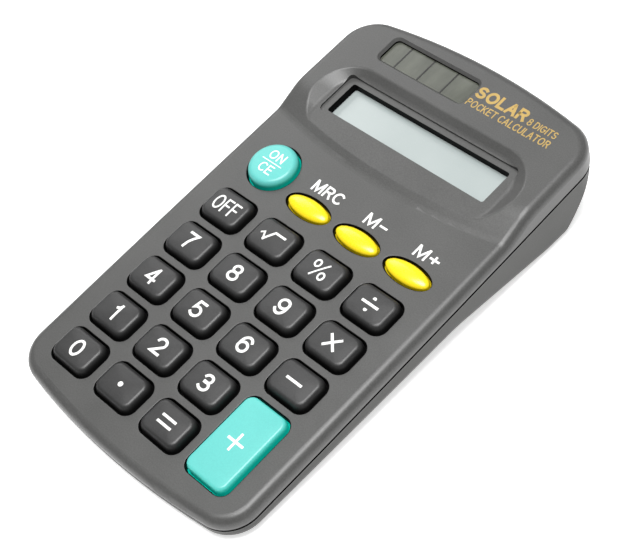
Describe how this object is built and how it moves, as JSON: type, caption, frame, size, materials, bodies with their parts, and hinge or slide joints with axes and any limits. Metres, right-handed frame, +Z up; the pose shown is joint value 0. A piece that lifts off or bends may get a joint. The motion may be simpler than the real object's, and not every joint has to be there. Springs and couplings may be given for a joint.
{
  "type": "pocket calculator",
  "caption": "Hand-held pocket calculator with a thin keypad half, a raised wedge-shaped display end, a recessed display, a solar window and soft-cornered push keys.",
  "frame": {"origin": "middle of the bounding box's base, on the plane that the calculator rests on", "axes": "+X to the right across the keypad, +Y from the lower end to the display end, +Z up"},
  "size_m": [0.0712, 0.1217, 0.0194],
  "materials": {
    "casing_plastic": "fine spark-textured dark warm grey",
    "key_black": "satin charcoal",
    "key_turquoise": "satin turquoise",
    "key_yellow": "satin yellow",
    "keypad_rubber": "matte silicone",
    "board_laminate": "phenolic laminate with carbon tracks",
    "resin": "glossy resin",
    "capacitor_sleeve": "shrink sleeve",
    "resistor_coat": "lacquer",
    "display_glass": "liquid crystal cell",
    "display_film": "polarizing film",
    "connector_rubber": "striped elastomer",
    "foam": "foam",
    "solar_glass": "amorphous cells under glass",
    "cell_label": "plain label",
    "spring_steel": "nickel plated",
    "screw_steel": "zinc plated",
    "wire_red": "soft PVC",
    "wire_black": "soft PVC"
  },
  "bodies": {
    "casing": {"battery_cell": "cell_label", "battery_contact_minus": "spring_steel", "battery_contact_plus": "spring_steel", "battery_lead_minus": "wire_black", "battery_lead_plus": "wire_red", "board_screws": "screw_steel", "capacitor": "capacitor_sleeve", "casing_screws": "screw_steel", "circuit_board": "board_laminate", "controller_chip": "resin", "front_casing": "casing_plastic", "keypad_membrane": "keypad_rubber", "lcd_connector": "connector_rubber", "lcd_panel": "display_glass", "lcd_polarizer": "display_film", "lcd_support": "foam", "rear_casing": "casing_plastic", "resistors": "resistor_coat", "solar_lead_minus": "wire_black", "solar_lead_plus": "wire_red", "solar_panel": "solar_glass"},
    "battery_door": {"battery_door": "casing_plastic"},
    "key_0": {"key_0": "key_black"},
    "key_1": {"key_1": "key_black"},
    "key_2": {"key_2": "key_black"},
    "key_3": {"key_3": "key_black"},
    "key_4": {"key_4": "key_black"},
    "key_5": {"key_5": "key_black"},
    "key_6": {"key_6": "key_black"},
    "key_7": {"key_7": "key_black"},
    "key_8": {"key_8": "key_black"},
    "key_9": {"key_9": "key_black"},
    "key_divide": {"key_divide": "key_black"},
    "key_equals": {"key_equals": "key_black"},
    "key_m_minus": {"key_m_minus": "key_yellow"},
    "key_m_plus": {"key_m_plus": "key_yellow"},
    "key_minus": {"key_minus": "key_black"},
    "key_mrc": {"key_mrc": "key_yellow"},
    "key_multiply": {"key_multiply": "key_black"},
    "key_off": {"key_off": "key_black"},
    "key_on_ce": {"key_on_ce": "key_turquoise"},
    "key_percent": {"key_percent": "key_black"},
    "key_plus": {"key_plus": "key_turquoise"},
    "key_point": {"key_point": "key_black"},
    "key_sqrt": {"key_sqrt": "key_black"}
  },
  "joints": [
    {"name": "key_0_press", "type": "slide", "parent": "casing", "child": "key_0", "axis": [0, 0.0853, -0.9964], "range_m": [0, 0.001], "stiffness_N_per_m": 200, "deforming": ["keypad_membrane"]},
    {"name": "key_1_press", "type": "slide", "parent": "casing", "child": "key_1", "axis": [0, 0.0853, -0.9964], "range_m": [0, 0.001], "stiffness_N_per_m": 200, "deforming": ["keypad_membrane"]},
    {"name": "key_2_press", "type": "slide", "parent": "casing", "child": "key_2", "axis": [0, 0.0853, -0.9964], "range_m": [0, 0.001], "stiffness_N_per_m": 200, "deforming": ["keypad_membrane"]},
    {"name": "key_3_press", "type": "slide", "parent": "casing", "child": "key_3", "axis": [0, 0.0853, -0.9964], "range_m": [0, 0.001], "stiffness_N_per_m": 200, "deforming": ["keypad_membrane"]},
    {"name": "key_4_press", "type": "slide", "parent": "casing", "child": "key_4", "axis": [0, 0.0853, -0.9964], "range_m": [0, 0.001], "stiffness_N_per_m": 200, "deforming": ["keypad_membrane"]},
    {"name": "key_5_press", "type": "slide", "parent": "casing", "child": "key_5", "axis": [0, 0.0853, -0.9964], "range_m": [0, 0.001], "stiffness_N_per_m": 200, "deforming": ["keypad_membrane"]},
    {"name": "key_6_press", "type": "slide", "parent": "casing", "child": "key_6", "axis": [0, 0.0853, -0.9964], "range_m": [0, 0.001], "stiffness_N_per_m": 200, "deforming": ["keypad_membrane"]},
    {"name": "key_7_press", "type": "slide", "parent": "casing", "child": "key_7", "axis": [0, 0.0853, -0.9964], "range_m": [0, 0.001], "stiffness_N_per_m": 200, "deforming": ["keypad_membrane"]},
    {"name": "key_8_press", "type": "slide", "parent": "casing", "child": "key_8", "axis": [0, 0.0853, -0.9964], "range_m": [0, 0.001], "stiffness_N_per_m": 200, "deforming": ["keypad_membrane"]},
    {"name": "key_9_press", "type": "slide", "parent": "casing", "child": "key_9", "axis": [0, 0.0853, -0.9964], "range_m": [0, 0.001], "stiffness_N_per_m": 200, "deforming": ["keypad_membrane"]},
    {"name": "key_divide_press", "type": "slide", "parent": "casing", "child": "key_divide", "axis": [0, 0.0853, -0.9964], "range_m": [0, 0.001], "stiffness_N_per_m": 200, "deforming": ["keypad_membrane"]},
    {"name": "key_equals_press", "type": "slide", "parent": "casing", "child": "key_equals", "axis": [0, 0.0853, -0.9964], "range_m": [0, 0.001], "stiffness_N_per_m": 200, "deforming": ["keypad_membrane"]},
    {"name": "key_m_minus_press", "type": "slide", "parent": "casing", "child": "key_m_minus", "axis": [0, 0.0853, -0.9964], "range_m": [0, 0.001], "stiffness_N_per_m": 200, "deforming": ["keypad_membrane"]},
    {"name": "key_m_plus_press", "type": "slide", "parent": "casing", "child": "key_m_plus", "axis": [0, 0.0853, -0.9964], "range_m": [0, 0.001], "stiffness_N_per_m": 200, "deforming": ["keypad_membrane"]},
    {"name": "key_minus_press", "type": "slide", "parent": "casing", "child": "key_minus", "axis": [0, 0.0853, -0.9964], "range_m": [0, 0.001], "stiffness_N_per_m": 200, "deforming": ["keypad_membrane"]},
    {"name": "key_mrc_press", "type": "slide", "parent": "casing", "child": "key_mrc", "axis": [0, 0.0853, -0.9964], "range_m": [0, 0.001], "stiffness_N_per_m": 200, "deforming": ["keypad_membrane"]},
    {"name": "key_multiply_press", "type": "slide", "parent": "casing", "child": "key_multiply", "axis": [0, 0.0853, -0.9964], "range_m": [0, 0.001], "stiffness_N_per_m": 200, "deforming": ["keypad_membrane"]},
    {"name": "key_off_press", "type": "slide", "parent": "casing", "child": "key_off", "axis": [0, 0.0853, -0.9964], "range_m": [0, 0.001], "stiffness_N_per_m": 200, "deforming": ["keypad_membrane"]},
    {"name": "key_on_ce_press", "type": "slide", "parent": "casing", "child": "key_on_ce", "axis": [0, 0.0853, -0.9964], "range_m": [0, 0.001], "stiffness_N_per_m": 200, "deforming": ["keypad_membrane"]},
    {"name": "key_percent_press", "type": "slide", "parent": "casing", "child": "key_percent", "axis": [0, 0.0853, -0.9964], "range_m": [0, 0.001], "stiffness_N_per_m": 200, "deforming": ["keypad_membrane"]},
    {"name": "key_plus_press", "type": "slide", "parent": "casing", "child": "key_plus", "axis": [0, 0.0853, -0.9964], "range_m": [0, 0.001], "stiffness_N_per_m": 200, "deforming": ["keypad_membrane"]},
    {"name": "key_point_press", "type": "slide", "parent": "casing", "child": "key_point", "axis": [0, 0.0853, -0.9964], "range_m": [0, 0.001], "stiffness_N_per_m": 200, "deforming": ["keypad_membrane"]},
    {"name": "key_sqrt_press", "type": "slide", "parent": "casing", "child": "key_sqrt", "axis": [0, 0.0853, -0.9964], "range_m": [0, 0.001], "stiffness_N_per_m": 200, "deforming": ["keypad_membrane"]},
    {"name": "battery_door_slide", "type": "slide", "parent": "casing", "child": "battery_door", "axis": [0, 1, 0], "range_m": [0, 0.022]}
  ]
}
